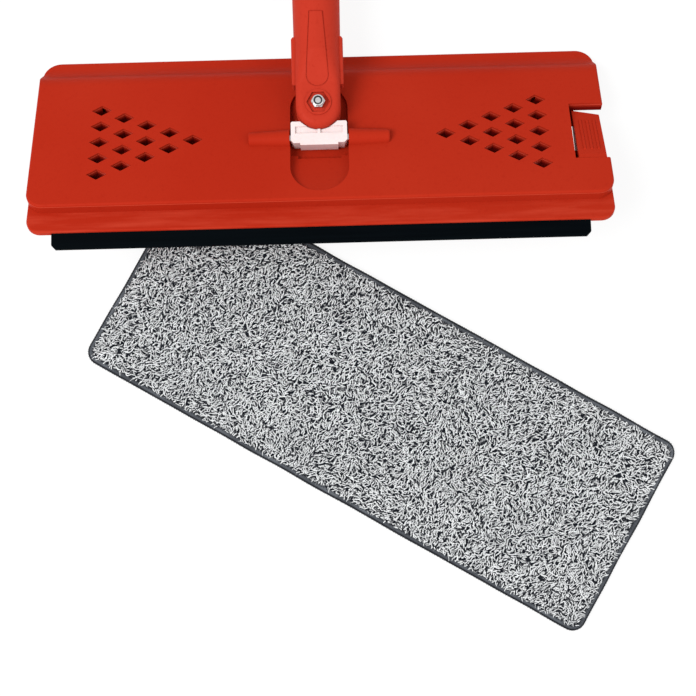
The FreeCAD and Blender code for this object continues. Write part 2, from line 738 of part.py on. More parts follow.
def lock_nut():
    centre = Vector(0, swing_offset, 0)
    top = nut_floor() + nut_hex
    nut = hexagon(nut_across, centre, nut_floor(), top)
    corner = nut_across / 2 + 0.1
    nut = nut.common(rod(corner + nut_hex, Vector(0, swing_offset, nut_floor()), Z, nut_hex, corner))
    collar = rod(nut_collar_radius, Vector(0, swing_offset, top - 0.5), Z, nut_collar + 0.5)
    collar = collar.makeFillet(nut_collar_wall / 2, edges_where(collar, level(top + nut_collar)))
    bore = rod(bolt_radius, Vector(0, swing_offset, 0), Z, 30)
    room = rod(nut_collar_radius - nut_collar_wall, Vector(0, swing_offset, top - 0.4), Z, 10)
    return fused([nut, collar]).cut(bore).cut(room)


def nut_insert():
    top = nut_floor() + nut_hex
    ring = rod(nut_collar_radius - nut_collar_wall, Vector(0, swing_offset, top - 0.4), Z, nut_collar + 0.1)
    return ring.cut(rod(bolt_radius, Vector(0, swing_offset, 0), Z, 30))


def lower_tube():
    shell = tube(lower_radius, lower_radius - lower_wall, lower_start, lower_end)
    return shell.cut(rod(rivet_radius, Vector(-30, swing_offset + rivet_place, 0), X, 60))


def socket_rivet():
    reach = socket_radius_high - 0.2
    return rod(rivet_radius, Vector(-reach, swing_offset + rivet_place, 0), X, reach * 2).cut(
        rod(upper_room(), Vector(0, 0, 0), Y, lower_end))


def upper_room():
    """Radius that the rivet's two ends leave free for the inner tube."""
    return lower_radius - lower_wall


def collar_sleeve():
    """Fixed sleeve on the lower tube that the locking collar turns on."""
    sleeve = fused([rod(sleeve_radius, Vector(0, sleeve_start, 0), Y, sleeve_end - sleeve_start),
                    rod(sleeve_flange_radius, Vector(0, sleeve_start, 0), Y, sleeve_flange)])
    sleeve = sleeve.cut(rod(lower_radius, Vector(0, sleeve_start - 1, 0), Y, lower_end - sleeve_start + 1))
    return sleeve.cut(rod(upper_radius + slide_play, Vector(0, lower_end - 1, 0), Y, sleeve_end))


def twist_collar():
    y0 = sleeve_start + sleeve_flange + moving_gap
    y1 = sleeve_end
    collar = tube(collar_radius, sleeve_radius + collar_play, y0, y1)
    collar = collar.makeFillet(1.2, edges_where(collar, lambda b: b.YLength < 1e-4 and b.XLength > 2 * collar_radius - 1))
    flutes = []
    for i in range(collar_ribs):
        turn = math.radians(360 * i / collar_ribs)
        centre = Vector(math.cos(turn) * (collar_radius + 0.9), y0 + 5, math.sin(turn) * (collar_radius + 0.9))
        flutes.append(rod(1.7, centre, Y, y1 - y0 - 10))
    return collar.cut(flutes)


def upper_tube():
    return tube(upper_radius, upper_radius - upper_wall, upper_start, upper_end)


def slide_bush():
    ring = tube(lower_radius - lower_wall - slide_play, upper_radius, upper_start, upper_start + bush_length)
    plug = rod(upper_radius, Vector(0, upper_start - 4, 0), Y, 4)
    cover = rod(lower_radius - lower_wall - slide_play, Vector(0, upper_start - 4, 0), Y, 4)
    return fused([ring, plug, cover])


def pole_grip():
    grip = tube(grip_radius, upper_radius, grip_start, grip_end)
    rim = edges_where(grip, lambda b: b.YLength < 1e-4 and b.YMin < grip_start + 1 and b.XLength > 2 * upper_radius + 1)
    grip = grip.makeFillet(2.0, rim)
    pitch = (grip_end - grip_start - 30) / grip_rings
    rings = []
    for i in range(grip_rings):
        rings.append(Part.makeTorus(grip_radius + 1.0, 1.8, Vector(0, grip_start + 18 + i * pitch, 0), Y))
    return grip.cut(rings)


def grip_cap():
    plug = rod(upper_radius, Vector(0, upper_end, 0), Y, grip_end - upper_end)
    head = rod(grip_radius, Vector(0, grip_end, 0), Y, cap_length)
    end = grip_end + cap_length
    head = head.makeFillet(cap_round, edges_where(head, lambda b: b.YLength < 1e-4 and b.YMin > end - 1))
    stem = rod(loop_stem_radius + pin_play, Vector(0, grip_end - 3, 0), Y, 40)
    return fused([plug, head]).cut([stem, loop_pin_rod()])


def loop_pin_rod():
    return rod(loop_pin_radius, Vector(-grip_radius + 2.5, loop_pin_place(), loop_neck_radius + loop_pin_radius + pin_play),
               X, 2 * grip_radius - 5)


def loop_pin_place():
    return grip_end + cap_length / 2 - 1


def hang_loop():
    start = grip_end - 3 + moving_gap
    face = grip_end + cap_length + moving_gap
    stem = rod(loop_stem_radius, Vector(0, start, 0), Y, face - start + 4)
    neck = tube(loop_stem_radius + 1, loop_neck_radius, loop_pin_place() - 1.2, loop_pin_place() + 1.2)
    middle = face + loop_outer
    disc = rod(loop_outer, Vector(0, middle, -loop_thick / 2), Z, loop_thick)
    foot = block(-loop_outer / 2, loop_outer / 2, face, middle, -loop_thick / 2, loop_thick / 2)
    ring = fused([disc, foot])
    ring = ring.cut(rod(loop_hole, Vector(0, middle + 1, -loop_thick), Z, 2 * loop_thick))
    return fused([stem.cut(neck), ring])


# ---- pad ----

def pad_slab(inset, z0, z1):
    return rounded_block(-pad_length / 2 + inset, pad_length / 2 - inset, -pad_width / 2 + inset,
                         pad_width / 2 - inset, z0, z1, pad_corner - inset, pad_corner - inset)


def pad_backing():
    return pad_slab(pad_border_width, 0, pad_backing_thick)


def pad_pile():
    return pad_slab(pad_border_width, pad_backing_thick, pad_height)


def pad_border():
    return pad_slab(0, 0, pad_border_height).cut(pad_slab(pad_border_width, -1, pad_border_height + 1))


# ---- laying the pieces on the floor ----

def pin_height(tilt):
    """Tilt pin above the floor when the head leans on its rear bottom edge."""
    return (half_depth - pivot_y) * math.sin(tilt) + pivot_z * math.cos(tilt)


def pole_end_height(tilt):
    """Lowest point of the grip's end above the floor, with the pole against its fold stop."""
    slope = tilt - math.radians(fold_angle)
    reach = grip_end + cap_length - cap_round
    side = grip_radius - cap_round
    return pin_height(tilt) - reach * math.sin(slope) - side * math.cos(slope) - cap_round


def resting_tilt():
    """Lean of the head at which both its rear edge and the grip's end touch the floor."""
    low, high = math.radians(fold_angle), math.radians(fold_angle + 30)
    for _ in range(60):
        middle = (low + high) / 2
        if pole_end_height(middle) > 0:
            low = middle
        else:
            high = middle
    return (low + high) / 2


def head_place(tilt):
    lean = Rotation(X, -math.degrees(tilt))
    return Placement(lean.multVec(Vector(0, -half_depth, 0)), lean)


def pole_place(tilt):
    return Placement(head_place(tilt).multVec(Vector(0, pivot_y, pivot_z)),
                     Rotation(X, fold_angle - math.degrees(tilt)))


def pad_place(tilt):
    return Placement(Vector(pad_aside, -head_depth * math.cos(tilt) - pad_ahead, 0), Rotation(Z, pad_turn))


head_pieces = {
    "deck_shell": deck_shell(),
    "base_plate": base_plate(),
    "hook_strip_front": hook_strip(strip_front_y),
    "hook_strip_rear": hook_strip(strip_rear_y),
    "base_screws": base_screws(),
    "pivot_pin": pivot_pin(),
    "squeegee_blade": squeegee_blade(),
    "blade_clip": blade_clip(),
    "release_tab": release_tab(),
    "tab_pin": tab_pin(),
    "tab_spring": tab_spring(),
}
pole_pieces = {
    "yoke": yoke(),
    "swing_bush": swing_bush(),
    "socket": socket(),
    "swing_bolt": swing_bolt(),
    "lock_nut": lock_nut(),
    "nut_insert": nut_insert(),
    "lower_tube": lower_tube(),
    "socket_rivet": socket_rivet(),
    "collar_sleeve": collar_sleeve(),
    "twist_collar": twist_collar(),
    "upper_tube": upper_tube(),
    "slide_bush": slide_bush(),
    "pole_grip": pole_grip(),
    "grip_cap": grip_cap(),
    "loop_pin": loop_pin_rod(),
    "hang_loop": hang_loop(),
}
pad_pieces = {
    "pad_backing": pad_backing(),
    "pad_pile": pad_pile(),
    "pad_border": pad_border(),
}

tilt = resting_tilt()
placed = []
for pieces, place in ((head_pieces, head_place(tilt)), (pole_pieces, pole_place(tilt)), (pad_pieces, pad_place(tilt))):
    for name, piece in pieces.items():
        piece = piece.copy()
        piece.Placement = place.multiply(piece.Placement)
        placed.append((name, piece))

bounds = FreeCAD.BoundBox()
for name, piece in placed:
    bounds.add(piece.optimalBoundingBox(False, False))
shift = Vector(-bounds.Center.x, -bounds.Center.y, -bounds.ZMin)

os.makedirs("parts", exist_ok=True)
for name, piece in placed:
    piece.translate(shift)
    piece.exportStep("parts/" + name + ".step")
    print(name, "solids", len(piece.Solids), "valid", piece.isValid(), "volume", round(piece.Volume, 1))
print("tilt", round(math.degrees(tilt), 3), "shift", shift, "size", bounds.XLength, bounds.YLength, bounds.ZLength)
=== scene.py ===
import bmesh
import bpy
import math
import numpy as np
from mathutils import Matrix, Vector, noise


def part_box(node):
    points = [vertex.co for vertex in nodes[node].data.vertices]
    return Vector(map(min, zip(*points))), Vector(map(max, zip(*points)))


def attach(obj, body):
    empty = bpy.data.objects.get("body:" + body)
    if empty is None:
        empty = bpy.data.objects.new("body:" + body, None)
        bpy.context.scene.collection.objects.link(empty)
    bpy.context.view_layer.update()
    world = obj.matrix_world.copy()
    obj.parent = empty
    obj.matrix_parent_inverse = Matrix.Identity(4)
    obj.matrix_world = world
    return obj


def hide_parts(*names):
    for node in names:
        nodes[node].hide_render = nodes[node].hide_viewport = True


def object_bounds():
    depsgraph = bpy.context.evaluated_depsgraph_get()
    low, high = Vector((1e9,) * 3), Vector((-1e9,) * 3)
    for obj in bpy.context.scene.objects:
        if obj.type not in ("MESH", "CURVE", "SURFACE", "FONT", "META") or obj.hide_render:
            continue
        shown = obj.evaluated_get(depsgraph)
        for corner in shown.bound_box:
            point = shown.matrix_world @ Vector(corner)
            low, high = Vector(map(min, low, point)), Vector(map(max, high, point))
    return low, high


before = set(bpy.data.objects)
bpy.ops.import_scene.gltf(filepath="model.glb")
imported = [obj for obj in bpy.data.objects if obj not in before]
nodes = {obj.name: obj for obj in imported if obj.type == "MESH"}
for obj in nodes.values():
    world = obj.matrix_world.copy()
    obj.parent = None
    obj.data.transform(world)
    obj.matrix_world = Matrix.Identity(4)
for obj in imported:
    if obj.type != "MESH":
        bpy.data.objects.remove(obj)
cadLow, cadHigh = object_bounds()
print("frame loaded:", len(nodes), "nodes")


def linear(r, g, b):
    # a colour as picked on screen, 0 to 255, to the linear values that shaders use
    parts = [c / 255 for c in (r, g, b)]
    return tuple(c / 12.92 if c < 0.04045 else ((c + 0.055) / 1.055) ** 2.4 for c in parts) + (1.0,)


class Sock:
    # one output socket, with the operators that shader maths needs
    def __init__(self, owner, socket):
        self.owner = owner
        self.socket = socket

    def maths(self, operation, first, second, clamp=False):
        settings = {"operation": operation, "use_clamp": clamp}
        return self.owner.add("ShaderNodeMath", settings, {0: first, 1: second})

    def __add__(self, other):
        return self.maths("ADD", self, other)

    def __radd__(self, other):
        return self.maths("ADD", other, self)

    def __sub__(self, other):
        return self.maths("SUBTRACT", self, other)

    def __rsub__(self, other):
        return self.maths("SUBTRACT", other, self)

    def __mul__(self, other):
        return self.maths("MULTIPLY", self, other)

    def __rmul__(self, other):
        return self.maths("MULTIPLY", other, self)

    def __truediv__(self, other):
        return self.maths("DIVIDE", self, other)

    def above(self, other):
        return self.maths("GREATER_THAN", self, other)

    def clamped(self):
        return self.maths("ADD", self, 0.0, clamp=True)

    def ramp(self, start, gain):
        # 0 up to start, then rising to 1
        return ((self - start) * gain).clamped()


class NodeTree:
    # the nodes of a material or of the world; add() makes every one
    def __init__(self, tree):
        self.tree = tree

    def add(self, kind, settings=None, values=None, out=0):
        node = self.tree.nodes.new(kind)
        for key, value in (settings or {}).items():
            setattr(node, key, value)
        for key, value in (values or {}).items():
            self.join(node.inputs[key], value)
        return Sock(self, node.outputs[out])

    def join(self, socket, value):
        if isinstance(value, Sock):
            self.tree.links.new(value.socket, socket)
        else:
            socket.default_value = value

    def seen(self):
        # 1 where the camera sees a thing, directly, in a reflection or through another piece
        rays = [self.add("ShaderNodeLightPath", out="Is " + kind + " Ray")
                for kind in ("Camera", "Glossy", "Transmission")]
        return (rays[0] + rays[1] + rays[2]).clamped()


class Finish(NodeTree):
    # one material and its shader
    def __init__(self, name):
        self.material = bpy.data.materials.new(name)
        self.material.use_nodes = True
        super().__init__(self.material.node_tree)
        self.shader = self.tree.nodes["Principled BSDF"]

    def set(self, **values):
        for key, value in values.items():
            self.join(self.shader.inputs[key.replace("_", " ")], value)
        return self.material

    def place(self, scale=(1, 1, 1), turn=(0, 0, 0)):
        coordinates = self.add("ShaderNodeTexCoord", out="Object")
        return self.add("ShaderNodeMapping", values={"Vector": coordinates, "Scale": scale, "Rotation": turn})

    def noise(self, scale, detail=2.0, rough=0.5):
        return self.add("ShaderNodeTexNoise", values={
            "Vector": self.place(), "Scale": scale, "Detail": detail, "Roughness": rough})

    def streaks(self, scale, detail, rough=0.5):
        # noise drawn out along the axes with the smaller scale
        return self.add("ShaderNodeTexNoise", values={
            "Vector": self.place(scale=scale), "Scale": 1.0, "Detail": detail, "Roughness": rough})

    def along(self, direction):
        # how far each point lies in one direction
        return self.add("ShaderNodeVectorMath", {"operation": "DOT_PRODUCT"},
                        {0: self.place(), 1: tuple(direction)}, out="Value")

    def carried(self, attribute):
        return self.add("ShaderNodeAttribute", {"attribute_name": attribute}, out="Fac")

    def blend(self, factor, first, second):
        return self.add("ShaderNodeMix", {"data_type": "RGBA"}, {0: factor, 6: first, 7: second}, out=2)

    def bump(self, height, strength, distance):
        values = {"Height": height, "Strength": strength, "Distance": distance}
        return self.add("ShaderNodeBump", values=values)


def headAxes():
    # the deck's top is the largest set of faces that look one way
    mesh = nodes["deck_shell"].data
    sums = {}
    for face in mesh.polygons:
        if face.normal.z > 0.8 and abs(face.normal.x) < 0.01:
            key = round(face.normal.y, 2)
            area, height, normal = sums.get(key, (0, 0, Vector()))
            area, normal = area + face.area, normal + face.normal * face.area
            sums[key] = area, height + face.area * face.center.dot(face.normal), normal
    area, height, normal = max(sums.values(), key=lambda item: item[0])
    normal.normalize()
    return normal, height / area


headUp, deckPlane = headAxes()
headBack = headUp.cross(Vector((1, 0, 0)))
print("deck leans", round(math.degrees(headUp.angle(Vector((0, 0, 1)))), 2), "plane", round(deckPlane, 5))


redTone = {
    "light": linear(168, 43, 24), "mid": linear(161, 36, 18), "deep": linear(147, 28, 14),
    # painted highlight: the socket's reds are a lighter copy of the deck's, for the broad light that falls on
    # it
    "socketHighlightPale": linear(179, 54, 38), "socketHighlightMid": linear(172, 48, 32),
    "roughness": 0.38, "roughnessSpread": 0.07, "specular": 0.02,
    "cloudScale": 9.0, "grainScale": 420.0, "waveScale": 60.0, "wearScale": 35.0,
    "grainHeight": 0.5, "waveHeight": 0.6, "bump": (0.25, 0.0004),   # bump: strength and distance
    "lightRamp": (0.35, 2.2), "deepRamp": (0.56, 1.6),              # where each tone starts, and how fast
}
deckTone = {
    # painted shade: the walls of the holes and the notch turn a deeper red the deeper they lie under the
    # deck's top
    "paintedHoleShade": linear(96, 5, 2), "holeRoughness": 0.4,
    # painted highlight: a lighter red along the upper rims of the front edge, the holes and the notch
    "rim": linear(196, 72, 52),
    "streak": linear(190, 68, 48), "streakScale": (22, 240, 240), "streakRamp": (0.42, 1.6),
    # depths under the deck's top, in metres
    "holeFrom": 0.0003, "holeTo": 0.0030, "rimFrom": 0.00003, "rimTo": 0.0004,
    # distances from the tilt pin: sideways, forwards and back
    "holeSide": 0.055, "holeFront": 0.030, "holeBack": 0.045,
    "jointSide": 0.035, "jointFront": 0.040, "flangeFront": 0.0425,
}


def deckMasks(finish):
    # painted shade on the walls of the holes and the notch, a painted highlight on the upper rims away from
    # the joint, and the front flange
    low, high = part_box("pivot_pin")
    pin = (low + high) / 2
    depth = deckPlane - finish.along(headUp)
    back = finish.along(headBack) - pin.dot(headBack)
    side = finish.along((1, 0, 0)) - pin.x
    side = finish.add("ShaderNodeMath", {"operation": "ABSOLUTE"}, {0: side})
    ahead = 1.0 - back.above(deckTone["holeBack"])
    inside = side.above(deckTone["holeSide"]) * back.above(-deckTone["holeFront"]) * ahead
    paintedWallShade = (depth - deckTone["holeFrom"]) / (deckTone["holeTo"] - deckTone["holeFrom"])
    joint = (1.0 - side.above(deckTone["jointSide"])) * back.above(-deckTone["jointFront"])
    rim = depth.above(deckTone["rimFrom"]) * (1.0 - depth.above(deckTone["rimTo"])) * (1.0 - joint)
    flange = 1.0 - back.above(-deckTone["flangeFront"])
    return paintedWallShade.clamped() * inside, rim * ahead, flange


def redPlastic(name, grain=1.0, deck=False, mid="mid", light="light"):
    finish = Finish(name)
    fine = finish.noise(redTone["grainScale"], 3.0, 0.6)
    cloud = finish.noise(redTone["cloudScale"], 3.0)
    # for the socket, mid and light are the lighter painted-highlight tones
    colour = finish.blend(cloud.ramp(*redTone["lightRamp"]), redTone[mid], redTone[light])
    colour = finish.blend(fine.ramp(*redTone["deepRamp"]), colour, redTone["deep"])
    wave = finish.noise(redTone["waveScale"])
    height = fine * redTone["grainHeight"] * grain + wave * redTone["waveHeight"]
    roughness = redTone["roughnessSpread"] * finish.noise(redTone["wearScale"], 4.0) + redTone["roughness"]
    if deck:
        paintedWallShade, rim, flange = deckMasks(finish)
        streaks = finish.streaks(deckTone["streakScale"], 5.0, 0.6)
        colour = finish.blend(streaks.ramp(*deckTone["streakRamp"]) * flange, colour, deckTone["streak"])
        # painted shade, deepening down the hole and notch walls
        colour = finish.blend(paintedWallShade, colour, deckTone["paintedHoleShade"])
        # painted highlight along the upper rims
        colour = finish.blend(rim, colour, deckTone["rim"])
        roughness = (roughness + paintedWallShade * deckTone["holeRoughness"]).clamped()
    return finish.set(Base_Color=colour, Roughness=roughness, Specular_IOR_Level=redTone["specular"],
                      Normal=finish.bump(height, *redTone["bump"]))


yokeTone = {
    "pale": linear(221, 208, 207), "warm": linear(215, 196, 194), "cloudScale": 80.0, "grainScale": 300.0,
    "roughness": 0.32, "roughnessSpread": 0.1, "specular": 0.4, "bump": (0.15, 0.0003),
    "glow": 0.10, "glowReach": (0.004, 0.002, 0.0015), "glowScale": 0.5,
}


def whitePlastic():
    finish = Finish("yokeWhite")
    fine = finish.noise(yokeTone["grainScale"], 3.0)
    colour = finish.blend(finish.noise(yokeTone["cloudScale"]), yokeTone["pale"], yokeTone["warm"])
    roughness = yokeTone["roughness"] + fine * yokeTone["roughnessSpread"]
    return finish.set(Base_Color=colour, Roughness=roughness,
                      Specular_IOR_Level=yokeTone["specular"], Subsurface_Weight=yokeTone["glow"],
                      Subsurface_Radius=yokeTone["glowReach"], Subsurface_Scale=yokeTone["glowScale"],
                      Normal=finish.bump(fine, *yokeTone["bump"]))


rubberTone = {
    "dark": linear(0, 2, 4), "light": linear(4, 9, 13), "roughness": 0.5, "roughnessSpread": 0.2,
    "specular": 0.02, "bump": (0.2, 0.0003), "grainScale": 700.0, "streakScale": (12, 400, 400),
}


def blackRubber():
    finish = Finish("squeegeeRubber")
    fine = finish.noise(rubberTone["grainScale"], 3.0)
    streak = finish.streaks(rubberTone["streakScale"], 4.0, 0.6)
    colour = finish.blend((streak * 1.4 - 0.4).clamped(), rubberTone["dark"], rubberTone["light"])
    roughness = rubberTone["roughness"] + streak * rubberTone["roughnessSpread"]
    return finish.set(Base_Color=colour, Roughness=roughness, Specular_IOR_Level=rubberTone["specular"],
                      Normal=finish.bump(fine + streak, *rubberTone["bump"]))


clipTone = {
    "dark": linear(14, 16, 18), "light": linear(34, 36, 38), "grainScale": 500.0,
    "roughness": 0.45, "roughnessSpread": 0.2, "bump": (0.3, 0.0002),
}


def blackPlastic(name):
    finish = Finish(name)
    fine = finish.noise(clipTone["grainScale"], 3.0)
    colour = finish.blend(fine, clipTone["dark"], clipTone["light"])
    roughness = clipTone["roughness"] + fine * clipTone["roughnessSpread"]
    return finish.set(Base_Color=colour, Roughness=roughness, Normal=finish.bump(fine, *clipTone["bump"]))


steelTone = {
    "bright": linear(225, 224, 222), "dull": linear(170, 170, 172),
    "roughness": 0.2, "roughnessSpread": 0.15, "bump": (0.15, 0.0001),
    "cloudScale": 900.0, "turnScale": (150, 2600, 150),
}


def brightSteel():
    finish = Finish("zincSteel")
    turned = finish.streaks(steelTone["turnScale"], 3.0)
    colour = finish.blend(finish.noise(steelTone["cloudScale"], 3.0), steelTone["bright"], steelTone["dull"])
    roughness = steelTone["roughness"] + turned * steelTone["roughnessSpread"]
    return finish.set(Base_Color=colour, Metallic=1.0, Roughness=roughness,
                      Normal=finish.bump(turned, *steelTone["bump"]))


poleTone = {
    "pale": linear(192, 192, 196), "scuffed": linear(156, 158, 163), "coat": 0.3,
    "roughness": 0.25, "roughnessSpread": 0.15, "bump": (0.12, 0.0003),
    "peelScale": 350.0, "scuffScale": (500, 25, 500), "scuffRamp": (0.6, 3.0),
}


def poleCoat():
    finish = Finish("poleCoat")
    scuffs = finish.streaks(poleTone["scuffScale"], 5.0, 0.7)
    colour = finish.blend(scuffs.ramp(*poleTone["scuffRamp"]), poleTone["pale"], poleTone["scuffed"])
    roughness = poleTone["roughness"] + scuffs * poleTone["roughnessSpread"]
    peel = finish.bump(finish.noise(poleTone["peelScale"], 3.0), *poleTone["bump"])
    return finish.set(Base_Color=colour, Roughness=roughness, Coat_Weight=poleTone["coat"], Normal=peel)


tapeTone = {
    "hook": linear(52, 53, 56), "gap": linear(16, 17, 18), "roughness": 0.8, "bump": (0.8, 0.0006),
    "hookScale": 900.0,
}


def hookTape():
    finish = Finish("hookTape")
    cells = finish.add("ShaderNodeTexVoronoi", values={
        "Vector": finish.place(), "Scale": tapeTone["hookScale"]})
    colour = finish.blend(cells, tapeTone["hook"], tapeTone["gap"])
    return finish.set(Base_Color=colour, Roughness=tapeTone["roughness"],
                      Normal=finish.bump(1 - cells, *tapeTone["bump"]))


finishes = {
    "deck_shell": redPlastic("deckRed", deck=True),
    "base_plate": redPlastic("baseRed", grain=1.4),
    "release_tab": redPlastic("tabRed"),
    # the socket gets the lighter reds, a painted highlight
    "socket": redPlastic("socketRedHighlight", mid="socketHighlightMid", light="socketHighlightPale"),
    "twist_collar": redPlastic("collarRed", grain=1.5),
    "pole_grip": redPlastic("gripRed", grain=2.0),
    "hook_strip_front": hookTape(),
    "yoke": whitePlastic(),
    "squeegee_blade": blackRubber(),
    "blade_clip": blackPlastic("clipBlack"),
    "pivot_pin": brightSteel(),
    "nut_insert": blackPlastic("nylonRing"),
    "lower_tube": poleCoat(),
}
sharedFinish = {
    "hook_strip_rear": "hook_strip_front", "base_screws": "pivot_pin", "tab_pin": "pivot_pin",
    "tab_spring": "pivot_pin", "swing_bush": "pivot_pin", "swing_bolt": "pivot_pin", "lock_nut": "pivot_pin",
    "socket_rivet": "pivot_pin", "loop_pin": "pivot_pin", "collar_sleeve": "twist_collar",
    "upper_tube": "lower_tube", "slide_bush": "yoke", "grip_cap": "pole_grip", "hang_loop": "pole_grip",
}
for name, node in nodes.items():
    finish = finishes.get(sharedFinish.get(name, name))
    if finish:
        node.data.materials.clear()
        node.data.materials.append(finish)
print("finishes made")


# the pad: core, bound edge, overlock stitches and pile
padPlace = {"turn": math.radians(-30.76), "length": 0.3340, "width": 0.1262, "corner": 0.0085}
padCore = {
    "columns": 110, "rows": 42, "foot": 0.0004, "under": 0.0006,   # under: below the strands' ground
    "edgeHeight": 0.0030, "crown": 0.0026, "crownWidth": 0.010,
    "waveHeight": 0.0007, "waveScale": 26.0,
    "inset": 0.0026,
}


def padMatrix():
    low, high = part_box("pad_pile")
    middle = (low + high) / 2
    return Matrix.Translation((middle.x, middle.y, 0)) @ Matrix.Rotation(padPlace["turn"], 4, "Z")


def padDepth(x, y):
    # distance from the outline to a point inside it
    a = padPlace["length"] / 2 - padPlace["corner"]
    b = padPlace["width"] / 2 - padPlace["corner"]
    over = Vector((max(abs(x) - a, 0), max(abs(y) - b, 0)))
    return padPlace["corner"] - over.length - min(max(abs(x) - a, abs(y) - b), 0)


def padTop(x, y):
    # height of the ground cloth: soft shoulders and slow waves
    near = min(max(padDepth(x, y) / padCore["crownWidth"], 0), 1)
    wave = padCore["waveHeight"] * noise.noise(Vector((x, y, 0)) * padCore["waveScale"]) * near
    return padCore["edgeHeight"] + padCore["crown"] * (1 - (1 - near) ** 2) + wave


def addPadPiece(name, mesh, materials, replaced=None):
    mesh.transform(padMatrix())
    for material in materials:
        mesh.materials.append(material)
    piece = bpy.data.objects.new(name, mesh)
    bpy.context.scene.collection.objects.link(piece)
    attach(piece, "pad")
    if replaced:
        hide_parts(replaced)
    return piece


def meshFrom(name, bm):
    bmesh.ops.recalc_face_normals(bm, faces=bm.faces)
    for face in bm.faces:
        face.smooth = True
    mesh = bpy.data.meshes.new(name)
    bm.to_mesh(mesh)
    bm.free()
    return mesh


def makePadCore():
    bm = bmesh.new()
    bmesh.ops.create_grid(bm, x_segments=padCore["columns"], y_segments=padCore["rows"], size=0.5)
    a = padPlace["length"] / 2 - padCore["inset"]
    b = padPlace["width"] / 2 - padCore["inset"]
    corner = padPlace["corner"] - padCore["inset"]
    for vert in bm.verts:
        x, y = vert.co.x * 2 * a, vert.co.y * 2 * b
        over = Vector((max(abs(x) - a + corner, 0), max(abs(y) - b + corner, 0)))
        if over.x and over.y:
            # the square corner of the grid is drawn in to a round one
            over *= max(over.x, over.y) / over.length
            x = math.copysign(a - corner + over.x, x)
            y = math.copysign(b - corner + over.y, y)
        vert.co = (x, y, padCore["foot"])
    top = bmesh.ops.extrude_face_region(bm, geom=bm.faces[:])
    for item in top["geom"]:
        if isinstance(item, bmesh.types.BMVert):
            item.co.z = padTop(item.co.x, item.co.y) - padCore["under"]
    bmesh.ops.recalc_face_normals(bm, faces=bm.faces)
    for face in bm.faces:
        face.material_index = 1 if face.normal.z < -0.5 else 0
    mesh = meshFrom("padCore", bm)
    piece = addPadPiece("padCore", mesh, [padGroundFinish(), padBackFinish()], "pad_backing")


padGround = {
    "dark": linear(9, 11, 16), "light": linear(30, 33, 40), "knitScale": 900.0,
    "roughness": 0.95, "specular": 0.1, "bump": (0.6, 0.0005),
}
padBack = {
    "dark": linear(92, 95, 101), "light": linear(158, 161, 166), "ribShare": 0.6,
    "roughness": 0.95, "specular": 0.1, "bump": (0.5, 0.0006),
    "ribScale": 260.0, "ribWander": 1.5, "fuzzScale": 1400.0,
}


def padGroundFinish():
    finish = Finish("padGround")
    knit = finish.noise(padGround["knitScale"])
    colour = finish.blend(knit, padGround["dark"], padGround["light"])
    return finish.set(Base_Color=colour, Roughness=padGround["roughness"],
                      Specular_IOR_Level=padGround["specular"], Normal=finish.bump(knit, *padGround["bump"]))


def padBackFinish():
    finish = Finish("padBack")
    ribs = finish.add("ShaderNodeTexWave", values={
        "Vector": finish.place(turn=(0, 0, padPlace["turn"])), "Scale": padBack["ribScale"],
        "Distortion": padBack["ribWander"], "Detail": 2.0})
    fuzz = finish.noise(padBack["fuzzScale"], 3.0)
    mixed = ribs * padBack["ribShare"] + fuzz * (1 - padBack["ribShare"])
    colour = finish.blend(mixed, padBack["dark"], padBack["light"])
    return finish.set(Base_Color=colour, Roughness=padBack["roughness"],
                      Specular_IOR_Level=padBack["specular"],
                      Normal=finish.bump(ribs + fuzz * 0.5, *padBack["bump"]))


padEdge = {
    "points": 420, "wobble": 0.0004, "wobbleScale": 38.0,
    # rings of the bound edge: inset from the outline, and height
    "rings": [(0.0040, 0.0006), (0.0016, 0.0002), (0.0003, 0.0009), (0.0, 0.0022), (0.0005, 0.0037),
              (0.0015, 0.0044), (0.0028, 0.0041), (0.0044, 0.0034)],
    "dark": (linear(8, 9, 12), linear(28, 31, 37)), "knit": (linear(64, 67, 72), linear(112, 116, 122)),
    "knitRamp": (0.62, 8.0), "patchRamp": (0.45, 4.0), "fuzzScale": 1100.0, "patchScale": 60.0,
    "roughness": 0.9, "specular": 0.15, "bump": (0.7, 0.0005),
}


def padOutline(fraction, inset=0.0, wobble=0.0):
    # a place on the pad's rounded outline and the outward direction there
    a = padPlace["length"] / 2 - padPlace["corner"]
    b = padPlace["width"] / 2 - padPlace["corner"]
    arc = math.pi / 2 * padPlace["corner"]
    runs = [b, arc, 2 * a, arc, 2 * b, arc, 2 * a, arc, b]
    way = fraction % 1 * sum(runs)
    index = 0
    while way > runs[index]:
        way -= runs[index]
        index += 1
    quarter = index // 2
    turn = math.pi / 2 * quarter
    if index % 2:
        turn += way / padPlace["corner"]
        side = Vector((a if quarter in (0, 3) else -a, b if quarter < 2 else -b, 0))
        out = Vector((math.cos(turn), math.sin(turn), 0))
        place = side + out * padPlace["corner"]
    else:
        out = Vector((math.cos(turn), math.sin(turn), 0))
        along = Vector((-out.y, out.x, 0))
        half = padPlace["length"] / 2 if quarter % 2 == 0 else padPlace["width"] / 2
        start = 0 if index == 0 else -(b if quarter % 2 == 0 else a)
        place = out * half + along * (start + way)
    shift = wobble * noise.noise(place * padEdge["wobbleScale"])
    return place + out * (shift - wobble - inset), out


def padEdgeFinish():
    finish = Finish("padEdge")
    inner = finish.carried("across").ramp(*padEdge["knitRamp"])
    fuzz = finish.noise(padEdge["fuzzScale"], 3.0)
    patches = finish.noise(padEdge["patchScale"]).ramp(*padEdge["patchRamp"])
    dark = finish.blend(fuzz, *padEdge["dark"])
    knit = finish.blend(fuzz, *padEdge["knit"])
    colour = finish.blend(inner * (0.5 + 0.5 * patches), dark, knit)
    return finish.set(Base_Color=colour, Roughness=padEdge["roughness"],
                      Specular_IOR_Level=padEdge["specular"], Normal=finish.bump(fuzz, *padEdge["bump"]))


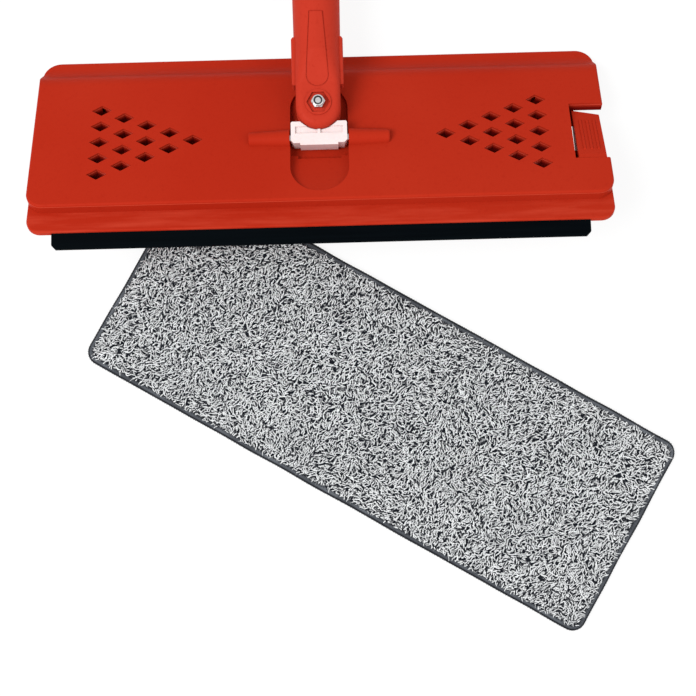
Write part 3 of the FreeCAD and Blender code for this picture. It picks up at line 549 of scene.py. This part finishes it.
def makePadEdge():
    bm = bmesh.new()
    count = padEdge["points"]
    across = bm.verts.layers.float.new("across")
    rings = []
    for step, (inset, height) in enumerate(padEdge["rings"]):
        ring = bmesh.ops.create_circle(bm, segments=count, radius=1.0)["verts"]
        for index, vert in enumerate(ring):
            place, out = padOutline(index / count, inset, padEdge["wobble"])
            vert.co = place + Vector((0, 0, height))
            vert[across] = step / (len(padEdge["rings"]) - 1)
        rings.append(ring)
    loops = [[e for e in bm.edges if e.verts[0] in keep and e.verts[1] in keep] for keep in map(set, rings)]
    for first, second in zip(loops, loops[1:] + loops[:1]):
        bmesh.ops.bridge_loops(bm, edges=first + second)
    addPadPiece("padEdge", meshFrom("padEdge", bm), [padEdgeFinish()], "pad_border")


def templateStrand(sides, stations, twist=0.7):
    # a straight strand along X, one long and one thick, from its places and thicknesses
    bm = bmesh.new()
    ring = bmesh.ops.create_circle(bm, segments=sides, radius=1.0, cap_ends=True)
    bmesh.ops.rotate(bm, verts=ring["verts"], cent=(0, 0, 0), matrix=Matrix.Rotation(math.pi / 2, 3, "Y"))
    before = stations[0]
    bmesh.ops.scale(bm, vec=(1, before[1], before[1]), verts=ring["verts"])
    end = bm.faces[:]
    for step, station in enumerate(stations[1:]):
        grown = bmesh.ops.extrude_face_region(bm, geom=end)["geom"]
        if step:
            bmesh.ops.delete(bm, geom=end, context="FACES_ONLY")
        end = [item for item in grown if isinstance(item, bmesh.types.BMFace)]
        verts = [item for item in grown if isinstance(item, bmesh.types.BMVert)]
        thicker = station[1] / before[1]
        bmesh.ops.translate(bm, vec=(station[0] - before[0], 0, 0), verts=verts)
        bmesh.ops.scale(bm, vec=(1, thicker, thicker), verts=verts)
        bmesh.ops.rotate(bm, verts=verts, cent=(0, 0, 0), matrix=Matrix.Rotation(twist, 3, "X"))
        before = station
    bmesh.ops.recalc_face_normals(bm, faces=bm.faces)
    bmesh.ops.triangulate(bm, faces=bm.faces)
    points = np.array([v.co for v in bm.verts])
    faces = np.array([[v.index for v in f.verts] for f in bm.faces])
    bm.free()
    return points, faces


def repeated(name, places, faces, **attributes):
    # one mesh from copies of a template: places is copies x points x 3
    copies, points = places.shape[:2]
    every = (faces[None] + np.arange(copies)[:, None, None] * points).reshape(-1, 3)
    mesh = bpy.data.meshes.new(name)
    mesh.vertices.add(copies * points)
    mesh.vertices.foreach_set("co", places.reshape(-1).astype(np.float32))
    mesh.loops.add(every.size)
    mesh.loops.foreach_set("vertex_index", every.reshape(-1).astype(np.int32))
    mesh.polygons.add(len(every))
    mesh.polygons.foreach_set("loop_start", np.arange(0, every.size, 3, dtype=np.int32))
    mesh.polygons.foreach_set("use_smooth", np.ones(len(every), dtype=bool))
    mesh.update(calc_edges=True)
    mesh.validate()
    for key, value in attributes.items():
        layer = mesh.attributes.new(key, "FLOAT", "POINT")
        layer.data.foreach_set("value", value.reshape(-1).astype(np.float32))
    return mesh


padThread = {
    "pitch": 0.00165, "radius": 0.00022, "lean": 0.0007, "seed": 3,
    "stations": [(0.0, 0.6), (0.3, 1.0), (0.7, 1.0), (1.0, 0.6)],   # place along a stitch, and thickness
    "drift": 0.18, "radiusSpread": (0.85, 1.25), "leanSpread": (0.6, 1.4), "bend": (0.02, 0.86),
    "outside": 0.0002, "foot": 0.0010, "rise": 0.0036,
    "middle": 0.0021, "outer": 0.0023, "inner": 0.0040,   # how far in from the edge, and each way from there
    "dark": linear(8, 9, 13), "light": linear(40, 43, 50), "fuzzScale": 700.0,
    "roughness": 0.85, "specular": 0.2,
}


def padThreadFinish():
    finish = Finish("padThread")
    colour = finish.blend(finish.noise(padThread["fuzzScale"]), padThread["dark"], padThread["light"])
    return finish.set(Base_Color=colour, Roughness=padThread["roughness"],
                      Specular_IOR_Level=padThread["specular"])


def makePadThread():
    # overlock stitches: short bent threads that lean over the bound edge
    points, faces = templateStrand(3, padThread["stations"])
    count = int(2 * (padPlace["length"] + padPlace["width"]) / padThread["pitch"])
    rng = np.random.default_rng(padThread["seed"])
    places = []
    for index in range(count):
        fraction = (index + rng.uniform(-padThread["drift"], padThread["drift"])) / count
        place, out = padOutline(fraction, 0.0, padEdge["wobble"])
        along = Vector((-out.y, out.x, 0))
        thick = padThread["radius"] * rng.uniform(*padThread["radiusSpread"])
        lean = padThread["lean"] * rng.uniform(*padThread["leanSpread"])
        copy = []
        for x, y, z in points:
            # over the edge from its foot outside to the cloth inside
            bend = math.pi * (padThread["bend"][0] + padThread["bend"][1] * x)
            swing = padThread["outer"] if bend < math.pi / 2 else padThread["inner"]
            inward = padThread["middle"] - swing * math.cos(bend) - padThread["outside"]
            height = padThread["foot"] + padThread["rise"] * math.sin(bend)
            spot = place - out * inward + along * (lean * (x - 0.5) * 2)
            spot = spot + along * (y * thick) + Vector((0, 0, height + z * thick))
            copy.append(spot)
        places.append(copy)
    # the bend turns the template inside out, so its faces are turned back
    mesh = repeated("padThread", np.array(places), faces[:, ::-1])
    addPadPiece("padThread", mesh, [padThreadFinish()])


padPile = {
    "spacing": 0.00118, "seed": 7, "inset": 0.0034, "sink": 0.0009, "margin": 0.0008,
    "length": (0.0018, 0.0034), "radius": (0.00029, 0.00039), "flat": 0.65,
    "rise": (0.0006, 0.0017), "curl": 0.5, "archReach": 1.15, "archTurn": 0.62, "tipDrop": 0.25,
    "jitter": 0.55, "behind": 0.45,                       # behind: the share of a strand before its root
    "stations": [(0.0, 0.8), (0.35, 1.15), (0.75, 1.0), (1.0, 0.4)],
    "heading": 1.25, "scatter": 0.35, "reversed": 0.45,   # reversed: the share that lies the other way
    "swirls": [(0.3, 30, 1.5), (4.1, 150, 2.2)],          # each with its height in the noise, scale and turn
    # dark strands: partly the pile's dark yarn, partly painted shade for the gaps between strands
    "darkShare": 0.28, "darkSink": 0.0004, "darkShade": (0.0, 0.45), "paleShade": (0.74, 1.0),
    # the root colour is painted shade where the strands sink in among the others
    "dark": linear(30, 34, 44), "pale": linear(252, 254, 255), "root": linear(20, 23, 32),
    "fibreScale": 2200.0, "patchScale": 30.0, "rootFade": 3.5,
    "shadeShare": 0.94, "fibreShare": 0.12, "patchShare": 0.22, "toneDrop": 0.03,
    "roughness": 0.92, "specular": 0.12, "bump": (0.4, 0.0003),
}


def padPileFinish():
    finish = Finish("padPile")
    fibre = finish.noise(padPile["fibreScale"])
    patch = finish.noise(padPile["patchScale"], 3.0)
    tone = finish.carried("shade") * padPile["shadeShare"] + fibre * padPile["fibreShare"]
    tone = tone + (patch - 0.5) * padPile["patchShare"] - padPile["toneDrop"]
    colour = finish.blend(tone.clamped(), padPile["dark"], padPile["pale"])
    # painted shade: strands darken towards their roots
    rootShadeWeight = (1.0 - finish.carried("along") * padPile["rootFade"]).clamped()
    colour = finish.blend(rootShadeWeight, colour, padPile["root"])
    return finish.set(Base_Color=colour, Roughness=padPile["roughness"],
                      Specular_IOR_Level=padPile["specular"], Normal=finish.bump(fibre, *padPile["bump"]))


def pileRoots(rng):
    # a jittered grid of roots, and the way each strand is combed
    roots, turns = [], []
    step, jitter = padPile["spacing"], padPile["jitter"]
    columns, rows = (int(padPlace[side] / 2 / step) for side in ("length", "width"))
    for column, row in np.ndindex(2 * columns + 1, 2 * rows + 1):
        x = (column - columns + rng.uniform(-jitter, jitter)) * step
        y = (row - rows + rng.uniform(-jitter, jitter)) * step
        if padDepth(x, y) < padPile["inset"]:
            continue
        drift = sum(noise.noise(Vector((x, y, z)) * scale) * turn for z, scale, turn in padPile["swirls"])
        drift += rng.normal(0, padPile["scatter"])
        turns.append(padPile["heading"] + drift + (math.pi if rng.random() < padPile["reversed"] else 0))
        roots.append((x, y, padTop(x, y) - padPile["sink"]))
    return np.array(roots), np.array(turns)


def makePadPile():
    # strands rooted in the ground cloth and combed over it, in slowly turning directions
    rng = np.random.default_rng(padPile["seed"])
    points, faces = templateStrand(3, padPile["stations"])
    roots, turns = pileRoots(rng)
    count = len(roots)
    # the dark strands are partly the pile's dark yarn and partly painted shade for the gaps between strands,
    # and they sit a little lower
    dark = rng.random(count) < padPile["darkShare"]
    long = rng.uniform(*padPile["length"], count)[:, None]
    thick = rng.uniform(*padPile["radius"], count)[:, None]
    rise = rng.uniform(*padPile["rise"], count)[:, None]
    curl = rng.normal(0, padPile["curl"], count)[:, None]
    s = points[:, 0]
    bow = np.clip(s * padPile["archReach"], 0, 1) * math.pi * padPile["archTurn"]
    arch = np.sin(bow) - padPile["tipDrop"] * s
    x = (s[None] - padPile["behind"]) * long
    y = points[:, 1][None] * thick + curl * long * (s ** 2)[None]
    z = points[:, 2][None] * thick * padPile["flat"] + rise * arch[None] - dark[:, None] * padPile["darkSink"]
    cos, sin = np.cos(turns)[:, None], np.sin(turns)[:, None]
    places = roots[:, None, :] + np.stack([x * cos - y * sin, x * sin + y * cos, z], axis=2)
    # nothing reaches past the bound edge
    for axis, side in enumerate(("length", "width")):
        reach = padPlace[side] / 2 - padPile["margin"]
        places[:, :, axis] = np.clip(places[:, :, axis], -reach, reach)
    darkShade = rng.uniform(*padPile["darkShade"], count)
    shade = np.where(dark, darkShade, rng.uniform(*padPile["paleShade"], count))
    mesh = repeated("padPile", places, faces, shade=np.repeat(shade[:, None], len(points), 1),
                    along=np.repeat(s[None], count, 0))
    piece = addPadPiece("padPile", mesh, [padPileFinish()], "pad_pile")


makePadCore()
makePadEdge()
makePadThread()
makePadPile()
print("pad made")


stage = {
    "floor": 6.0, "floorGap": 0.0004, "floorTone": linear(245, 245, 245), "floorWhite": 0.86,
    "ambient": 0.725, "background": 1.0, "white": (1, 1, 1, 1),
}
lamps = {
    "keyLamp": {"place": (-0.9, -0.6, 1.5), "size": 0.8, "power": 24.6},
    "fillLamp": {"place": (1.2, -0.9, 1.3), "size": 1.2, "power": 8.7},
}
lampAim = (0, -0.25, 0)


def floorFinish():
    finish = Finish("paleFloor")
    white = finish.add("ShaderNodeEmission", values={
        "Color": stage["white"], "Strength": stage["background"]})
    finish.set(Base_Color=stage["floorTone"], Roughness=0.9, Specular_IOR_Level=0.0)
    plain = Sock(finish, finish.shader.outputs[0])
    factor = finish.seen() * stage["floorWhite"]
    mixed = finish.add("ShaderNodeMixShader", values={0: factor, 1: plain, 2: white})
    finish.join(finish.tree.nodes["Material Output"].inputs["Surface"], mixed)
    return finish.material


def makeFloor():
    bm = bmesh.new()
    bmesh.ops.create_grid(bm, x_segments=1, y_segments=1, size=stage["floor"])
    mesh = bpy.data.meshes.new("paleFloor")
    bm.to_mesh(mesh)
    bm.free()
    floor = bpy.data.objects.new("paleFloor", mesh)
    floor.location.z = cadLow.z - stage["floorGap"]
    mesh.materials.append(floorFinish())
    bpy.context.scene.collection.objects.link(floor)


def makeWorld():
    world = bpy.data.worlds.new("studio")
    bpy.context.scene.world = world
    world.use_nodes = True
    sky = NodeTree(world.node_tree)
    ambient = sky.tree.nodes["Background"]
    sky.join(ambient.inputs["Color"], stage["white"])
    sky.join(ambient.inputs["Strength"], stage["ambient"])
    backdrop = sky.add("ShaderNodeBackground", values={
        "Color": stage["white"], "Strength": stage["background"]})
    plain = Sock(sky, ambient.outputs[0])
    mixed = sky.add("ShaderNodeMixShader", values={0: sky.seen(), 1: plain, 2: backdrop})
    sky.join(sky.tree.nodes["World Output"].inputs["Surface"], mixed)


def makeLamp(name, place, size, power):
    lamp = bpy.data.lights.new(name, "AREA")
    lamp.shape = "SQUARE"
    lamp.size = size
    lamp.energy = power
    holder = bpy.data.objects.new(name, lamp)
    holder.location = place
    holder.rotation_mode = "QUATERNION"
    holder.rotation_quaternion = (Vector(lampAim) - Vector(place)).to_track_quat("-Z", "Y")
    bpy.context.scene.collection.objects.link(holder)


# offsets are from the middle of the head's rear edge, where it meets the floor
cameraPlace = {
    "lens": 63.65, "sensor": 36.0, "edgeInset": 0.0012,
    "aimFromHead": (0.01329, -0.17496, 0.0),
    "fromHead": (0.01170, -0.23386, 0.72908),
    "up": (0.0269, 0.9996, 0.0),
}


def makeCamera():
    low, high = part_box("deck_shell")
    edge = Vector(((low.x + high.x) / 2, high.y - cameraPlace["edgeInset"], 0))
    camera = bpy.data.objects.new("viewpoint", bpy.data.cameras.new("viewpoint"))
    camera.data.lens = cameraPlace["lens"]
    camera.data.sensor_width = cameraPlace["sensor"]
    place = edge + Vector(cameraPlace["fromHead"])
    aim = edge + Vector(cameraPlace["aimFromHead"])
    ahead = (aim - place).normalized()
    side = ahead.cross(Vector(cameraPlace["up"])).normalized()
    turned = Matrix((side, side.cross(ahead), -ahead)).transposed()
    camera.location = place
    camera.rotation_mode = "QUATERNION"
    camera.rotation_quaternion = turned.to_quaternion()
    bpy.context.scene.collection.objects.link(camera)
    bpy.context.scene.camera = camera


makeFloor()
makeWorld()
for name, lamp in lamps.items():
    makeLamp(name, **lamp)
makeCamera()
bpy.context.scene.view_settings.view_transform = "Standard"
print("stage, lamps and camera made")
